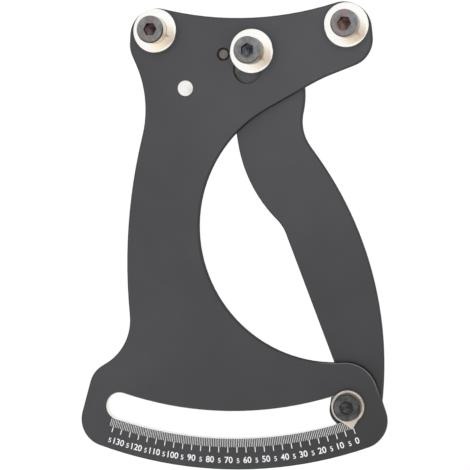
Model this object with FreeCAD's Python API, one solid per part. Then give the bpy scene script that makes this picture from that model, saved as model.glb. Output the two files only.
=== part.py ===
import FreeCAD, Part
import os
from math import acos, asin, atan2, ceil, cos, degrees, hypot, pi, radians, sin, sqrt, tan
from FreeCAD import Vector

# Spoke tension meter. Two flat plates cross on one pivot: the main plate carries two
# outer spools and the scale, and the lever behind it carries the middle spool and the pointer.
# X is to the right of the scale, Y runs from the scale to the spools, Z is up from the face
# that the meter lies on. All lengths are in millimetres and all angles in degrees.

# Both plates; pointer_arm is what the outline shares of both plates follow
pointer_arm = 119.3
plate_thickness = 3.0
lever_thickness = 3.0
edge_break = 0.35
slot_edge_break = 0.12
outline_growth = 0.12
overrun = 1.0

# Places of the outer spools from the pivot, and of the middle one at rest
left_spool_reach = 21.05
left_spool_rise = 7.4
right_spool_reach = 40.65
right_spool_rise = 8.5
moving_spool_reach = 10.36
moving_spool_rise = 0.58

# Swing of the lever, between the ends of the arc slot
rest_angle = 20.0
swing_angle = 36.7

# Spools, each a hub that the spoke bends round and a flange that keeps it on
spool_radius = 7.0
spool_height = 6.8
spool_flange = 1.6
spool_flange_slope = 0.7
spool_hub_radius = 5.2
spool_rim_break = 0.35
moving_spool_lift = 0.4

# Socket head screws of the spools and the pointer
screw_radius = 2.5
screw_fit = 0.05
thread_fit = 0.02
cap_head_radius = 4.35
cap_head_height = 5.0
cap_socket_width = 4.0
cap_socket_depth = 2.6
head_edge_break = 0.45
plate_screw_length = 10.0
moving_screw_length = 14.0
low_head_height = 3.5
low_socket_width = 4.0
low_socket_depth = 2.0
pointer_screw_length = 8.0

# Sleeve that lifts the middle spool, in its clearance slot of the main plate
spacer_radius = 3.0
spool_slot_play = 1.6
spool_slot_top_inset = 0.26
spool_slot_end_inset = 0.84

# Arc slot and foot of the main plate
slot_half_width = 4.4
slot_play = 0.3
scale_band = 10.0
foot_corner_radius = 8.7
left_side_lean = 15.3
right_side_lean = 18.6

# Pivot: shoulder screw, bush and washers
shoulder_radius = 2.5
bush_fit = 0.03
bush_radius = 4.0
bush_flange_radius = 6.8
bush_flange_thickness = 0.8
thrust_washer_radius = 7.0
thrust_washer_thickness = 0.5
pivot_washer_radius = 5.5
pivot_washer_thickness = 0.4
end_play = 0.1
pivot_head_radius = 4.5
pivot_head_height = 3.0
pivot_socket_width = 3.0
pivot_socket_depth = 1.8
pivot_thread_radius = 2.0
pivot_end_break = 0.45
pivot_end_recess = 0.3

# Torsion spring round the bush
wire_diameter = 1.6
coil_inner_play = 0.5
coil_gap = 0.55
coil_end_play = 0.3
full_turns = 2
leg_tail = 2.4
leg_play = 0.05

# Post on the main plate and pin on the lever, which the spring's legs push
post_radius = 2.5
post_x = -12.5
post_y = -10.8
post_dome = 0.3
post_groove_depth = 0.4
post_end = 1.4
pin_radius = 1.5
pin_head_radius = 2.1
pin_head_height = 0.6
pin_reach = 15.0
pin_angle = -60.0

# Pointer, its guide and the slip washer
pointer_lift = 0.5
pointer_radius = 5.25
pointer_thickness = 1.8
pointer_floor = 0.8
pointer_recess_radius = 4.5
pointer_tip_reach = 7.3
pointer_tip_left_spread = 34.0
pointer_tip_right_spread = 26.0
pointer_tip_turn = 8.0
guide_washer_radius = 6.2
guide_washer_thickness = 0.4
guide_washer_fit = 0.1

# Hub of the lever round the pivot
hub_radius = 9.0

# Corners of the lobes as shares of spool_radius from the spool, with their rounding
right_lobe_low_shares = (1.10, -1.40)
right_lobe_top_shares = (0.81, 1.47)
left_lobe_top_shares = (-1.30, 1.36)
left_lobe_low_shares = (-1.41, -0.81)
lobe_rounding_share = 1.24

# Corners of the main plate as shares of pointer_arm: across, along and rounding
head_dip_shares = (0.081, 0.066, 0.884)
neck_shares = (-0.1995, -0.119, 0.295)
flank_shares = (-0.2845, -0.463, 1.473)
ankle_shares = (-0.252, -0.794, 0.146)
left_shoulder_shares = (-0.365, -0.864, 0.074)
right_shoulder_shares = (0.393, -0.819, 0.086)
underside_shares = (0.2615, -0.066, 0.446)
waist_shares = (0.299, -0.490, 0.364)
waist_start = 270.0
waist_end = 113.7

# Corners of the lever as shares of pointer_arm: across, along and rounding
hub_low_left_shares = (-0.0754, -0.050, 0.075)
throat_shares = (0.017, -0.128, 0.084)
grip_shares = (0.0544, -0.356, 0.373)
knuckle_shares = (0.1587, -0.461, 0.105)
ankle_of_lever_shares = (0.304, -0.8395, 0.042)
lever_end_left_shares = (0.2795, -0.994, 0.0425)
lever_end_right_shares = (0.418, -1.003, 0.066)
lever_back_shares = (0.463, -0.571, 0.955)
notch_shares = (0.199, -0.2065, 0.114)
cheek_shares = (0.2185, -0.112, 0.210)
hub_top_right_share = 0.1845

# Heights that follow from the stack at the pivot, from the back up
wire_radius = wire_diameter / 2
coil_radius = bush_radius + coil_inner_play + wire_radius
coil_pitch = wire_diameter + coil_gap


def seat_angle(reach, seat_radius):
    """Angle between a pin's direction and the tangent point of the leg that touches it."""
    return degrees(acos((coil_radius + seat_radius + leg_play + wire_radius) / reach))


post_reach = hypot(post_x, post_y)
post_angle = degrees(atan2(post_y, post_x)) % 360
post_seat_radius = post_radius - post_groove_depth
fixed_leg_angle = post_angle - seat_angle(post_reach, post_seat_radius)
moving_leg_angle = pin_angle + seat_angle(pin_reach, pin_radius)
wound_angle = 360 * full_turns + fixed_leg_angle - moving_leg_angle
coil_rise = coil_pitch * wound_angle / 360

bush_back = pivot_head_height + pivot_washer_thickness + end_play
coil_floor = bush_back + bush_flange_thickness + coil_end_play
fixed_leg_level = coil_floor + wire_radius
moving_leg_level = fixed_leg_level + coil_rise
lever_back = moving_leg_level + wire_radius + coil_end_play
lever_front = lever_back + lever_thickness
plate_back = lever_front + thrust_washer_thickness
plate_front = plate_back + plate_thickness
spool_top = plate_front + spool_height
pointer_back = plate_front + pointer_lift

slot_inner_radius = pointer_arm - slot_half_width
slot_outer_radius = pointer_arm + slot_half_width
foot_radius = slot_outer_radius + scale_band
guide_radius = slot_half_width - slot_play
slot_play_angle = degrees(slot_play / pointer_arm)
spool_slot_radius = spacer_radius + spool_slot_play


def polar(radius, angle):
    """Point at a radius from the pivot, the angle taken anticlockwise from +X."""
    return Vector(radius * cos(radians(angle)), radius * sin(radians(angle)), 0)


def hanging(radius, angle):
    """Point at a radius from the pivot, the angle taken to the right from straight down."""
    return polar(radius, angle - 90)


def swung(at):
    """Place that a point of the lever reaches at the end of its swing."""
    return polar(at.Length, degrees(atan2(at.y, at.x)) - swing_angle)


def drum(radius, low, high, at=Vector()):
    return Part.makeCylinder(radius, high - low, Vector(at.x, at.y, low))


def tube(outer, inner, low, high, at=Vector()):
    return drum(outer, low, high, at).cut(drum(inner, low - overrun, high + overrun, at))


def slab(wire, low, high):
    plate = Part.Face(wire).extrude(Vector(0, 0, high - low))
    plate.translate(Vector(0, 0, low))
    return plate


def turned(profile):
    """Solid turned about Z from a profile of (radius, height) points."""
    points = [Vector(radius, 0, height) for radius, height in profile]
    face = Part.Face(Part.makePolygon(points + points[:1]))
    return face.revolve(Vector(), Vector(0, 0, 1), 360)


def hex_hole(width, low, high):
    corner = width / 2 / cos(radians(30))
    points = [polar(corner, 60 * side) for side in range(7)]
    return slab(Part.makePolygon(points), low, high)


def rounded_wire(corners):
    """Closed outline through the corners, each an (x, y, rounding) with tangent arcs."""
    points = [Vector(x, y, 0) for x, y, rounding in corners]
    count = len(corners)
    to_next = [points[(i + 1) % count] - points[i] for i in range(count)]
    lengths = [side.Length for side in to_next]
    units = [side / length for side, length in zip(to_next, lengths)]
    halves = [acos(-units[i - 1].dot(units[i])) / 2 for i in range(count)]
    wanted = [corners[i][2] / tan(halves[i]) for i in range(count)]
    cuts = []
    for i in range(count):
        before = lengths[i - 1] * wanted[i] / (wanted[i] + wanted[i - 1])
        after = lengths[i] * wanted[i] / (wanted[i] + wanted[(i + 1) % count])
        cuts.append(min(wanted[i], before, after))
    edges = []
    for i in range(count):
        start = points[i] - units[i - 1] * cuts[i]
        end = points[i] + units[i] * cuts[i]
        inward = (units[i] - units[i - 1]).normalize()
        bulge = cuts[i] / cos(halves[i]) - cuts[i] * tan(halves[i])
        edges.append(Part.Arc(start, points[i] + inward * bulge, end).toShape())
        follow = points[(i + 1) % count] - units[i] * cuts[(i + 1) % count]
        if (follow - end).Length > edge_break / 100:
            edges.append(Part.LineSegment(end, follow).toShape())
    return Part.Wire(Part.__sortEdges__(edges)).makeOffset2D(outline_growth)


def arm_corner(shares):
    across, along, rounding = shares
    return (across * pointer_arm, along * pointer_arm, rounding * pointer_arm)


def lobe_corner(spool, shares):
    across, along = shares
    corner = spool + Vector(across, along, 0) * spool_radius
    return (corner.x, corner.y, lobe_rounding_share * spool_radius)


def foot_corner(shoulder, lean, side):
    """Corner where a leaning side meets the foot's arc; side is -1 on the left, 1 on the right."""
    start = Vector(shoulder[0], shoulder[1], 0)
    down = Vector(side * sin(radians(lean)), -cos(radians(lean)), 0)
    inward = Vector(-side * cos(radians(lean)), -sin(radians(lean)), 0)
    middle = start + inward * foot_corner_radius
    along = middle.dot(down)
    reach = foot_radius - foot_corner_radius
    run = -along + sqrt(along ** 2 - middle.Length ** 2 + reach ** 2)
    outward = (middle + down * run).normalize()
    depth = (foot_radius - start.dot(outward)) / down.dot(outward)
    corner = start + down * depth
    return (corner.x, corner.y, foot_corner_radius), outward


def arc_corners(centre, radius, start, end):
    """Two corners whose roundings together make one long arc about the centre."""
    half = (start - end) / 4
    corners = []
    for step in (1, 3):
        corner = centre + polar(radius / cos(radians(half)), start - step * half)
        corners.append((corner.x, corner.y, radius))
    return corners


def slot_blank(outline):
    return slab(outline, plate_back - overrun, plate_front + overrun)


def arc_slot():
    """Slot round the pivot for the pointer's guide, with round ends."""
    right = rest_angle + slot_play_angle
    left = rest_angle - swing_angle - slot_play_angle
    middle = (left + right) / 2
    end_turn = degrees(slot_half_width / pointer_arm)
    edges = [
        Part.Arc(hanging(slot_outer_radius, left), hanging(slot_outer_radius, middle),
                 hanging(slot_outer_radius, right)),
        Part.Arc(hanging(slot_outer_radius, right), hanging(pointer_arm, right + end_turn),
                 hanging(slot_inner_radius, right)),
        Part.Arc(hanging(slot_inner_radius, right), hanging(slot_inner_radius, middle),
                 hanging(slot_inner_radius, left)),
        Part.Arc(hanging(slot_inner_radius, left), hanging(pointer_arm, left - end_turn),
                 hanging(slot_outer_radius, left)),
    ]
    return slot_blank(Part.Wire([edge.toShape() for edge in edges]))


def spool_slot():
    """Straight slot that the middle spool's spacer swings through, from end to end."""
    top = moving_spool_at - Vector(spool_slot_top_inset, 0, 0)
    end = swung(moving_spool_at) + Vector(-spool_slot_end_inset, spool_slot_end_inset, 0)
    along = (end - top).normalize()
    beside = Vector(-along.y, along.x, 0) * spool_slot_radius
    edges = [
        Part.LineSegment(top + beside, end + beside),
        Part.Arc(end + beside, end + along * spool_slot_radius, end - beside),
        Part.LineSegment(end - beside, top - beside),
        Part.Arc(top - beside, top - along * spool_slot_radius, top + beside),
    ]
    return slot_blank(Part.Wire([edge.toShape() for edge in edges]))


def outline_broken(plate):
    """The plate with a chamfer along the outline of its two faces."""
    flat = [edge for edge in plate.Edges if edge.BoundBox.ZLength < edge_break / 2]
    return plate.makeChamfer(edge_break, flat)


def slots_broken(plate):
    """The plate with a finer chamfer along the slots in its two faces."""
    faces = [face for face in plate.Faces if face.BoundBox.ZLength < edge_break / 2]
    slots = [edge for face in faces for wire in face.Wires
             if not wire.isSame(face.OuterWire) for edge in wire.Edges]
    return plate.makeChamfer(slot_edge_break, slots)


def bored(piece, radius, at, low, high):
    return piece.cut(drum(radius, low - overrun, high + overrun, at))


left_spool_at = Vector(-left_spool_reach, left_spool_rise, 0)
right_spool_at = Vector(right_spool_reach, right_spool_rise, 0)
moving_spool_at = Vector(moving_spool_reach, moving_spool_rise, 0)
pointer_at = hanging(pointer_arm, rest_angle)
post_at = Vector(post_x, post_y, 0)
pin_at = polar(pin_reach, pin_angle)
tapped_radius = screw_radius + thread_fit
free_radius = screw_radius + screw_fit


def main_plate():
    left_shoulder = arm_corner(left_shoulder_shares)
    right_shoulder = arm_corner(right_shoulder_shares)
    left_corner, left_out = foot_corner(left_shoulder, left_side_lean, -1)
    right_corner, right_out = foot_corner(right_shoulder, right_side_lean, 1)
    bisector = (left_out + right_out).normalize()
    foot_tip = bisector * (foot_radius / bisector.dot(left_out))
    waist = arm_corner(waist_shares)
    corners = [
        lobe_corner(right_spool_at, right_lobe_low_shares),
        lobe_corner(right_spool_at, right_lobe_top_shares),
        arm_corner(head_dip_shares),
        lobe_corner(left_spool_at, left_lobe_top_shares),
        lobe_corner(left_spool_at, left_lobe_low_shares),
        arm_corner(neck_shares),
        arm_corner(flank_shares),
        arm_corner(ankle_shares),
        left_shoulder,
        left_corner,
        (foot_tip.x, foot_tip.y, foot_radius),
        right_corner,
        right_shoulder,
    ]
    corners += arc_corners(Vector(waist[0], waist[1], 0), waist[2], waist_start, waist_end)
    corners.append(arm_corner(underside_shares))
    plate = outline_broken(slab(rounded_wire(corners), plate_back, plate_front))
    plate = slots_broken(plate.cut(arc_slot()).cut(spool_slot()))
    for at in (left_spool_at, right_spool_at):
        plate = bored(plate, tapped_radius, at, plate_back, plate_front)
    plate = bored(plate, pivot_thread_radius + thread_fit, Vector(), plate_back, plate_front)
    return bored(plate, post_radius + thread_fit, post_at, plate_back, plate_front)


def lever_plate():
    corners = [
        (hub_top_right_share * pointer_arm, hub_radius, hub_radius),
        (-hub_radius, hub_radius, hub_radius),
        arm_corner(hub_low_left_shares),
        arm_corner(throat_shares),
        arm_corner(grip_shares),
        arm_corner(knuckle_shares),
        arm_corner(ankle_of_lever_shares),
        arm_corner(lever_end_left_shares),
        arm_corner(lever_end_right_shares),
        arm_corner(lever_back_shares),
        arm_corner(notch_shares),
        arm_corner(cheek_shares),
    ]
    plate = outline_broken(slab(rounded_wire(corners), lever_back, lever_front))
    plate = bored(plate, bush_radius, Vector(), lever_back, lever_front)
    plate = bored(plate, pin_radius, pin_at, lever_back, lever_front)
    for at in (moving_spool_at, pointer_at):
        plate = bored(plate, tapped_radius, at, lever_back, lever_front)
    return plate


def spool(at, floor):
    """Turned spool with its flange in front, under the screw's head."""
    rim = spool_radius
    top = spool_top - floor
    under_flange = top - spool_flange
    profile = [
        (free_radius, 0),
        (spool_hub_radius - spool_rim_break, 0),
        (spool_hub_radius, spool_rim_break),
        (spool_hub_radius, under_flange - spool_flange_slope),
        (rim, under_flange),
        (rim, top - spool_rim_break),
        (rim - spool_rim_break, top),
        (free_radius, top),
    ]
    piece = turned(profile)
    piece.translate(Vector(at.x, at.y, floor))
    return piece


def socket_screw(at, seat, length, head_height, socket_width, socket_depth):
    """Socket head screw, head up, with the underside of its head on the seat."""
    profile = [
        (0, -length),
        (screw_radius - head_edge_break, -length),
        (screw_radius, head_edge_break - length),
        (screw_radius, 0),
        (cap_head_radius, 0),
        (cap_head_radius, head_height - head_edge_break),
        (cap_head_radius - head_edge_break, head_height),
        (0, head_height),
    ]
    socket = hex_hole(socket_width, head_height - socket_depth, head_height + overrun)
    screw = turned(profile).cut(socket)
    screw.translate(Vector(at.x, at.y, seat))
    return screw


def cap_screw(at, length):
    return socket_screw(at, spool_top, length, cap_head_height, cap_socket_width,
                        cap_socket_depth)


def pointer_screw():
    return socket_screw(pointer_at, pointer_back + pointer_floor, pointer_screw_length,
                        low_head_height, low_socket_width, low_socket_depth)


def pivot_screw():
    """Shoulder screw from the back, its thread ending just under the main plate's front."""
    end = plate_front - pivot_end_recess
    profile = [
        (0, 0),
        (pivot_head_radius - head_edge_break, 0),
        (pivot_head_radius, head_edge_break),
        (pivot_head_radius, pivot_head_height),
        (shoulder_radius, pivot_head_height),
        (shoulder_radius, plate_back),
        (pivot_thread_radius, plate_back),
        (pivot_thread_radius, end - pivot_end_break),
        (pivot_thread_radius - pivot_end_break, end),
        (0, end),
    ]
    return turned(profile).cut(hex_hole(pivot_socket_width, -overrun, pivot_socket_depth))


def pivot_bush():
    bore = shoulder_radius + bush_fit
    profile = [
        (bore, bush_back),
        (bush_flange_radius, bush_back),
        (bush_flange_radius, bush_back + bush_flange_thickness),
        (bush_radius, bush_back + bush_flange_thickness),
        (bush_radius, lever_front),
        (bore, lever_front),
    ]
    return turned(profile)


def thrust_washer():
    return tube(thrust_washer_radius, shoulder_radius + bush_fit, lever_front, plate_back)


def pivot_washer():
    return tube(pivot_washer_radius, shoulder_radius + bush_fit, pivot_head_height,
                pivot_head_height + pivot_washer_thickness)


def spring_post():
    """Pin through the main plate, domed in front and grooved for the spring's leg."""
    groove_half = wire_radius + leg_play
    profile = [
        (0, fixed_leg_level - post_end),
        (post_seat_radius, fixed_leg_level - post_end),
        (post_radius, fixed_leg_level - post_end + post_groove_depth),
        (post_radius, fixed_leg_level - groove_half),
        (post_seat_radius, fixed_leg_level - groove_half),
        (post_seat_radius, fixed_leg_level + groove_half),
        (post_radius, fixed_leg_level + groove_half),
        (post_radius, plate_front),
    ]
    points = [Vector(radius, 0, height) for radius, height in profile]
    crown_radius = (post_radius ** 2 + post_dome ** 2) / (2 * post_dome)
    half_way = asin(post_radius / crown_radius) / 2
    crown_drop = crown_radius * (1 - cos(half_way))
    shoulder = Vector(crown_radius * sin(half_way), 0, plate_front + post_dome - crown_drop)
    crown = Part.Arc(points[-1], shoulder, Vector(0, 0, plate_front + post_dome)).toShape()
    sides = Part.makePolygon(points).Edges
    axis = Part.LineSegment(Vector(0, 0, plate_front + post_dome), points[0]).toShape()
    face = Part.Face(Part.Wire(sides + [crown, axis]))
    post = face.revolve(Vector(), Vector(0, 0, 1), 360)
    post.translate(post_at)
    return post


def spring_pin():
    """Headed pin pressed through the lever from the back."""
    head = moving_leg_level - wire_radius - leg_play
    profile = [
        (0, head - pin_head_height),
        (pin_head_radius, head - pin_head_height),
        (pin_head_radius, head),
        (pin_radius, head),
        (pin_radius, lever_front),
        (0, lever_front),
    ]
    pin = turned(profile)
    pin.translate(pin_at)
    return pin


def arc_from(start, heading, end):
    """Arc that leaves start along the heading and reaches end."""
    chord = end - start
    along = Vector(chord).normalize()
    beside = heading - along * heading.dot(along)
    lean = acos(min(1, heading.dot(along)))
    bulge = beside.normalize() * (chord.Length / 2 * tan(lean / 2))
    return Part.Arc(start, start + chord / 2 + bulge, end).toShape()


def biarc(start, heading, end, end_heading):
    """Two tangent arcs from start to end that keep the heading at both."""
    gap = end - start
    both = heading + end_heading
    spare = 2 * (1 - heading.dot(end_heading))
    root = sqrt(gap.dot(both) ** 2 + spare * gap.dot(gap))
    reach = (root - gap.dot(both)) / spare
    start_arm = start + heading * reach
    end_arm = end - end_heading * reach
    joint = (start_arm + end_arm) / 2
    return [arc_from(start, heading, joint), arc_from(joint, (end_arm - joint).normalize(), end)]


def spring_route():
    """Leg at the post, coil winding clockwise towards the lever, leg at the pin."""
    steps = ceil(wound_angle / 90)
    slope = coil_pitch / (2 * pi * coil_radius)
    places = []
    headings = []
    for step in range(steps + 1):
        share = step / steps
        angle = fixed_leg_angle - wound_angle * share
        place = polar(coil_radius, angle)
        place.z = fixed_leg_level + coil_rise * share
        climb = slope if 0 < step < steps else 0
        headings.append(Vector(sin(radians(angle)), -cos(radians(angle)), climb).normalize())
        places.append(place)
    fixed_run = post_reach * sin(radians(post_angle - fixed_leg_angle)) + leg_tail
    moving_run = pin_reach * sin(radians(moving_leg_angle - pin_angle)) + leg_tail
    first = places[0] - headings[0] * fixed_run
    last = places[-1] + headings[-1] * moving_run
    edges = [Part.LineSegment(first, places[0]).toShape()]
    for step in range(steps):
        edges += biarc(places[step], headings[step], places[step + 1], headings[step + 1])
    edges.append(Part.LineSegment(places[-1], last).toShape())
    return Part.Wire(edges), first, headings[0]


def least_gap(route):
    """Least gap between the wire's skins at stretches more than half a turn apart."""
    points = route.discretize(Distance=wire_radius / 2)
    apart = int(pi * coil_radius / (wire_radius / 2))
    gaps = []
    for i in range(len(points) - apart):
        gaps.append(min((points[i] - other).Length for other in points[i + apart:]))
    return min(gaps) - wire_diameter


def torsion_spring():
    route, first, heading = spring_route()
    section = Part.Wire(Part.Circle(first, heading, wire_radius).toShape())
    spring = route.makePipeShell([section], True, False)
    print("spring: turns", round(wound_angle / 360, 2), "least gap", round(least_gap(route), 3))
    print("spring: volume over section times length",
          round(spring.Volume / (pi * wire_radius ** 2 * route.Length), 4))
    return spring


def moving_spool_spacer():
    return tube(spacer_radius, free_radius, lever_front, plate_front + moving_spool_lift,
                moving_spool_at)


def pointer():
    """Dished ring round the screw's head, with a tip that reads the scale."""
    high = pointer_back + pointer_thickness
    heading = rest_angle - pointer_tip_turn
    tip = [hanging(pointer_radius, heading - pointer_tip_left_spread),
           hanging(pointer_tip_reach, heading),
           hanging(pointer_radius, heading + pointer_tip_right_spread)]
    blade = slab(Part.makePolygon([Vector()] + tip + [Vector()]), pointer_back, high)
    blade.translate(pointer_at)
    ring = drum(pointer_radius, pointer_back, high, pointer_at).fuse(blade)
    ring = ring.cut(drum(pointer_recess_radius, pointer_back + pointer_floor, high + overrun,
                         pointer_at))
    return bored(ring, free_radius, pointer_at, pointer_back, high).removeSplitter()


def pointer_guide():
    return tube(guide_radius, free_radius, lever_front, pointer_back, pointer_at)


def guide_washer():
    return tube(guide_washer_radius, guide_radius + guide_washer_fit, lever_front,
                lever_front + guide_washer_thickness, pointer_at)


pieces = {
    "main_plate": main_plate(),
    "lever_plate": lever_plate(),
    "left_spool": spool(left_spool_at, plate_front),
    "right_spool": spool(right_spool_at, plate_front),
    "moving_spool": spool(moving_spool_at, plate_front + moving_spool_lift),
    "left_spool_screw": cap_screw(left_spool_at, plate_screw_length),
    "right_spool_screw": cap_screw(right_spool_at, plate_screw_length),
    "moving_spool_screw": cap_screw(moving_spool_at, moving_screw_length),
    "moving_spool_spacer": moving_spool_spacer(),
    "pivot_screw": pivot_screw(),
    "pivot_bush": pivot_bush(),
    "thrust_washer": thrust_washer(),
    "pivot_washer": pivot_washer(),
    "torsion_spring": torsion_spring(),
    "spring_post": spring_post(),
    "spring_pin": spring_pin(),
    "pointer": pointer(),
    "pointer_screw": pointer_screw(),
    "pointer_guide": pointer_guide(),
    "guide_washer": guide_washer(),
}

# The origin is under the middle of the whole meter, on the face that it lies on
box = Part.makeCompound(list(pieces.values())).optimalBoundingBox(False, False)
shift = Vector(-box.Center.x, -box.Center.y, 0)
os.makedirs("parts", exist_ok=True)
for name, piece in pieces.items():
    piece.translate(shift)
    piece.exportStep("parts/" + name + ".step")
print("pivot at", round(shift.x, 3), round(shift.y, 3), "plate front at", round(plate_front, 3))
print("box", round(box.XLength, 2), round(box.YLength, 2), round(box.ZLength, 2))
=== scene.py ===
from math import asin, atan2, cos, degrees, hypot, pi, radians, sin, sqrt
import bpy
from mathutils import Matrix, Vector


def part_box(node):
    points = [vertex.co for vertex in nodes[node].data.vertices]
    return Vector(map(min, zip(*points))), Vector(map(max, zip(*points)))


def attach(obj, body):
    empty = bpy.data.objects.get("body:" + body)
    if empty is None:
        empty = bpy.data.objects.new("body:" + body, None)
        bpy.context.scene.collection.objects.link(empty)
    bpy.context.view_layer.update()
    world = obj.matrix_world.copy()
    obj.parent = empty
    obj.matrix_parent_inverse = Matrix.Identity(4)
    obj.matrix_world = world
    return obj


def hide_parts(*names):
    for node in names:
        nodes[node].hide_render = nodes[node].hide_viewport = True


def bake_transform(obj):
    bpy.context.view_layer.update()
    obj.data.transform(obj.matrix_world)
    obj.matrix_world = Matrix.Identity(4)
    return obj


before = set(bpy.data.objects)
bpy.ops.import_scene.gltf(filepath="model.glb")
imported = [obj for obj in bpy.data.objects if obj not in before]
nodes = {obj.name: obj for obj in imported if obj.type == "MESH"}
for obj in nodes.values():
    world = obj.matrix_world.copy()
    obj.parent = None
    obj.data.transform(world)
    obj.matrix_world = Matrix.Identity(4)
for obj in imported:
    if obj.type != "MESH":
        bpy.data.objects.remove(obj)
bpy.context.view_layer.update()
mm = 0.001
level = 0.9   # a face whose normal rises this far counts as level


# small tools for the modelling below

def editMesh():
    bpy.ops.object.mode_set(mode="EDIT")


def leaveMesh():
    bpy.ops.object.mode_set(mode="OBJECT")


def leaveAll():
    if bpy.context.object and bpy.context.object.mode != "OBJECT":
        leaveMesh()
    bpy.ops.object.select_all(action="DESELECT")


def middleOf(node):
    low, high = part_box(node)
    return (low + high) / 2


def pick(piece):
    leaveAll()
    piece.select_set(True)
    bpy.context.view_layer.objects.active = piece


# no point of a mesh selected, so that code can select them by place
def clearPoints(piece):
    pick(piece)
    editMesh()
    bpy.ops.mesh.select_mode(type="VERT")
    bpy.ops.mesh.select_all(action="DESELECT")
    leaveMesh()


def applyPlace(piece):
    pick(piece)
    bpy.ops.object.transform_apply(location=True, rotation=True, scale=True)


def roundEdges(piece, width, segments=2, limit=32):
    pick(piece)
    bevel = piece.modifiers.new("softEdges", "BEVEL")
    bevel.width = width
    bevel.segments = segments
    bevel.limit_method = "ANGLE"
    bevel.angle_limit = radians(limit)
    bevel.use_clamp_overlap = True
    bpy.ops.object.modifier_apply(modifier=bevel.name)


def smoothPiece(piece, limit=30):
    pick(piece)
    bpy.ops.object.shade_smooth_by_angle(angle=radians(limit))


# a piece that bends between two bodies has no body of its own to ride on
def dressPiece(piece, name, material, body, standsFor=()):
    piece.name = name
    piece.data.name = name
    piece.data.materials.clear()
    piece.data.materials.append(material)
    if body:
        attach(piece, body)
    if standsFor:
        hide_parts(*standsFor)
    return piece


# turned work: a disc is drawn out upwards, ring by ring, each ring a (radius, height)
def turnPiece(rings, at, sides=96):
    leaveAll()
    radius, height = rings[0]
    bpy.ops.mesh.primitive_circle_add(vertices=sides, radius=radius, fill_type="NGON",
                                      location=(at.x, at.y, height))
    piece = bpy.context.object
    editMesh()
    bpy.ops.mesh.select_all(action="SELECT")
    for nextRadius, nextHeight in rings[1:]:
        bpy.ops.mesh.extrude_region_move(
            TRANSFORM_OT_translate={"value": (0, 0, nextHeight - height)})
        growth = nextRadius / radius
        bpy.ops.transform.resize(value=(growth, growth, 1),
                                 center_override=(at.x, at.y, nextHeight))
        radius, height = nextRadius, nextHeight
    bpy.ops.mesh.select_all(action="SELECT")
    bpy.ops.mesh.normals_make_consistent(inside=False)
    leaveMesh()
    applyPlace(piece)
    return piece


def cutWith(piece, cutter):
    pick(piece)
    cut = piece.modifiers.new("cut", "BOOLEAN")
    cut.operation = "DIFFERENCE"
    cut.solver = "EXACT"
    cut.object = cutter
    bpy.ops.object.modifier_apply(modifier=cut.name)
    bpy.data.objects.remove(cutter)


# a hexagon key's hole, with the drilled cone at its bottom, in shares of its flats
keyHole = {"rim": 0.06, "cone": 0.16, "tip": 0.2}


def hexCutter(at, low, high, flats, turn, cone):
    leaveAll()
    bpy.ops.mesh.primitive_cylinder_add(vertices=6, radius=flats / sqrt(3), depth=high - low,
                                        location=(at.x, at.y, (low + high) / 2),
                                        rotation=(0, 0, radians(turn)))
    cutter = bpy.context.object
    editMesh()
    bpy.ops.mesh.select_all(action="DESELECT")
    leaveMesh()
    for face in cutter.data.polygons:
        face.select = face.normal.z * cone < -level
    editMesh()
    bpy.ops.mesh.select_mode(type="FACE")
    bpy.ops.mesh.inset(thickness=flats * keyHole["rim"], depth=0)
    bpy.ops.mesh.extrude_region_move(
        TRANSFORM_OT_translate={"value": (0, 0, -cone * flats * keyHole["cone"])})
    bpy.ops.transform.resize(value=(keyHole["tip"], keyHole["tip"], 1))
    leaveMesh()
    applyPlace(cutter)
    return cutter


# a CAD node's own shape with soft edges, for what is not turned
softSettings = {"merge": 0.002, "flat": 0.5}


def softCopy(node, width, segments):
    piece = bpy.data.objects.new(node + "Soft", nodes[node].data.copy())
    bpy.context.scene.collection.objects.link(piece)
    pick(piece)
    editMesh()
    bpy.ops.mesh.select_all(action="SELECT")
    bpy.ops.mesh.remove_doubles(threshold=softSettings["merge"] * mm)
    bpy.ops.mesh.dissolve_limited(angle_limit=radians(softSettings["flat"]))
    leaveMesh()
    roundEdges(piece, width, segments)
    smoothPiece(piece)
    return piece


pivotAt = middleOf("pivot_screw")
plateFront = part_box("main_plate")[1].z
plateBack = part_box("main_plate")[0].z


# node groups that several finishes share

# inputs with their values, None for a vector; every output is a number
def newGroup(name, inputs, outputs):
    group = bpy.data.node_groups.new(name, "ShaderNodeTree")
    for label, value in inputs.items():
        kind = "NodeSocketVector" if value is None else "NodeSocketFloat"
        socket = group.interface.new_socket(label, in_out="INPUT", socket_type=kind)
        if value is not None:
            socket.default_value = value
    for label in outputs:
        group.interface.new_socket(label, in_out="OUTPUT", socket_type="NodeSocketFloat")
    start = group.nodes.new("NodeGroupInput")
    end = group.nodes.new("NodeGroupOutput")
    return group, start, end


# one node: its own settings by name, and its inputs, each a value or another node's socket
def addNode(tree, kind, inputs=None, **settings):
    node = tree.nodes.new("ShaderNode" + kind)
    for name, value in settings.items():
        setattr(node, name, value)
    for label, value in (inputs or {}).items():
        if isinstance(value, bpy.types.NodeSocket):
            tree.links.new(value, node.inputs[label])
        else:
            node.inputs[label].default_value = value
    return node


def mathNode(tree, operation, *values):
    return addNode(tree, "Math", dict(enumerate(values)), operation=operation).outputs[0]


def splitOf(tree, source):
    return addNode(tree, "SeparateXYZ", {0: source}).outputs


# how far a face looks up: 1 where it is level, 0 where it is upright
def riseOf(tree):
    return splitOf(tree, addNode(tree, "NewGeometry").outputs["Normal"])["Z"]


def spreadOf(tree, source, lowest, highest, low=0, high=1):
    return addNode(tree, "MapRange", {"Value": source, "From Min": lowest, "From Max": highest,
                                      "To Min": low, "To Max": high}).outputs[0]


# how far a vector reaches along one direction
def alongNode(tree, source, towards):
    return addNode(tree, "VectorMath", {0: source, 1: Vector(towards).normalized()},
                   operation="DOT_PRODUCT").outputs["Value"]


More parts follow.
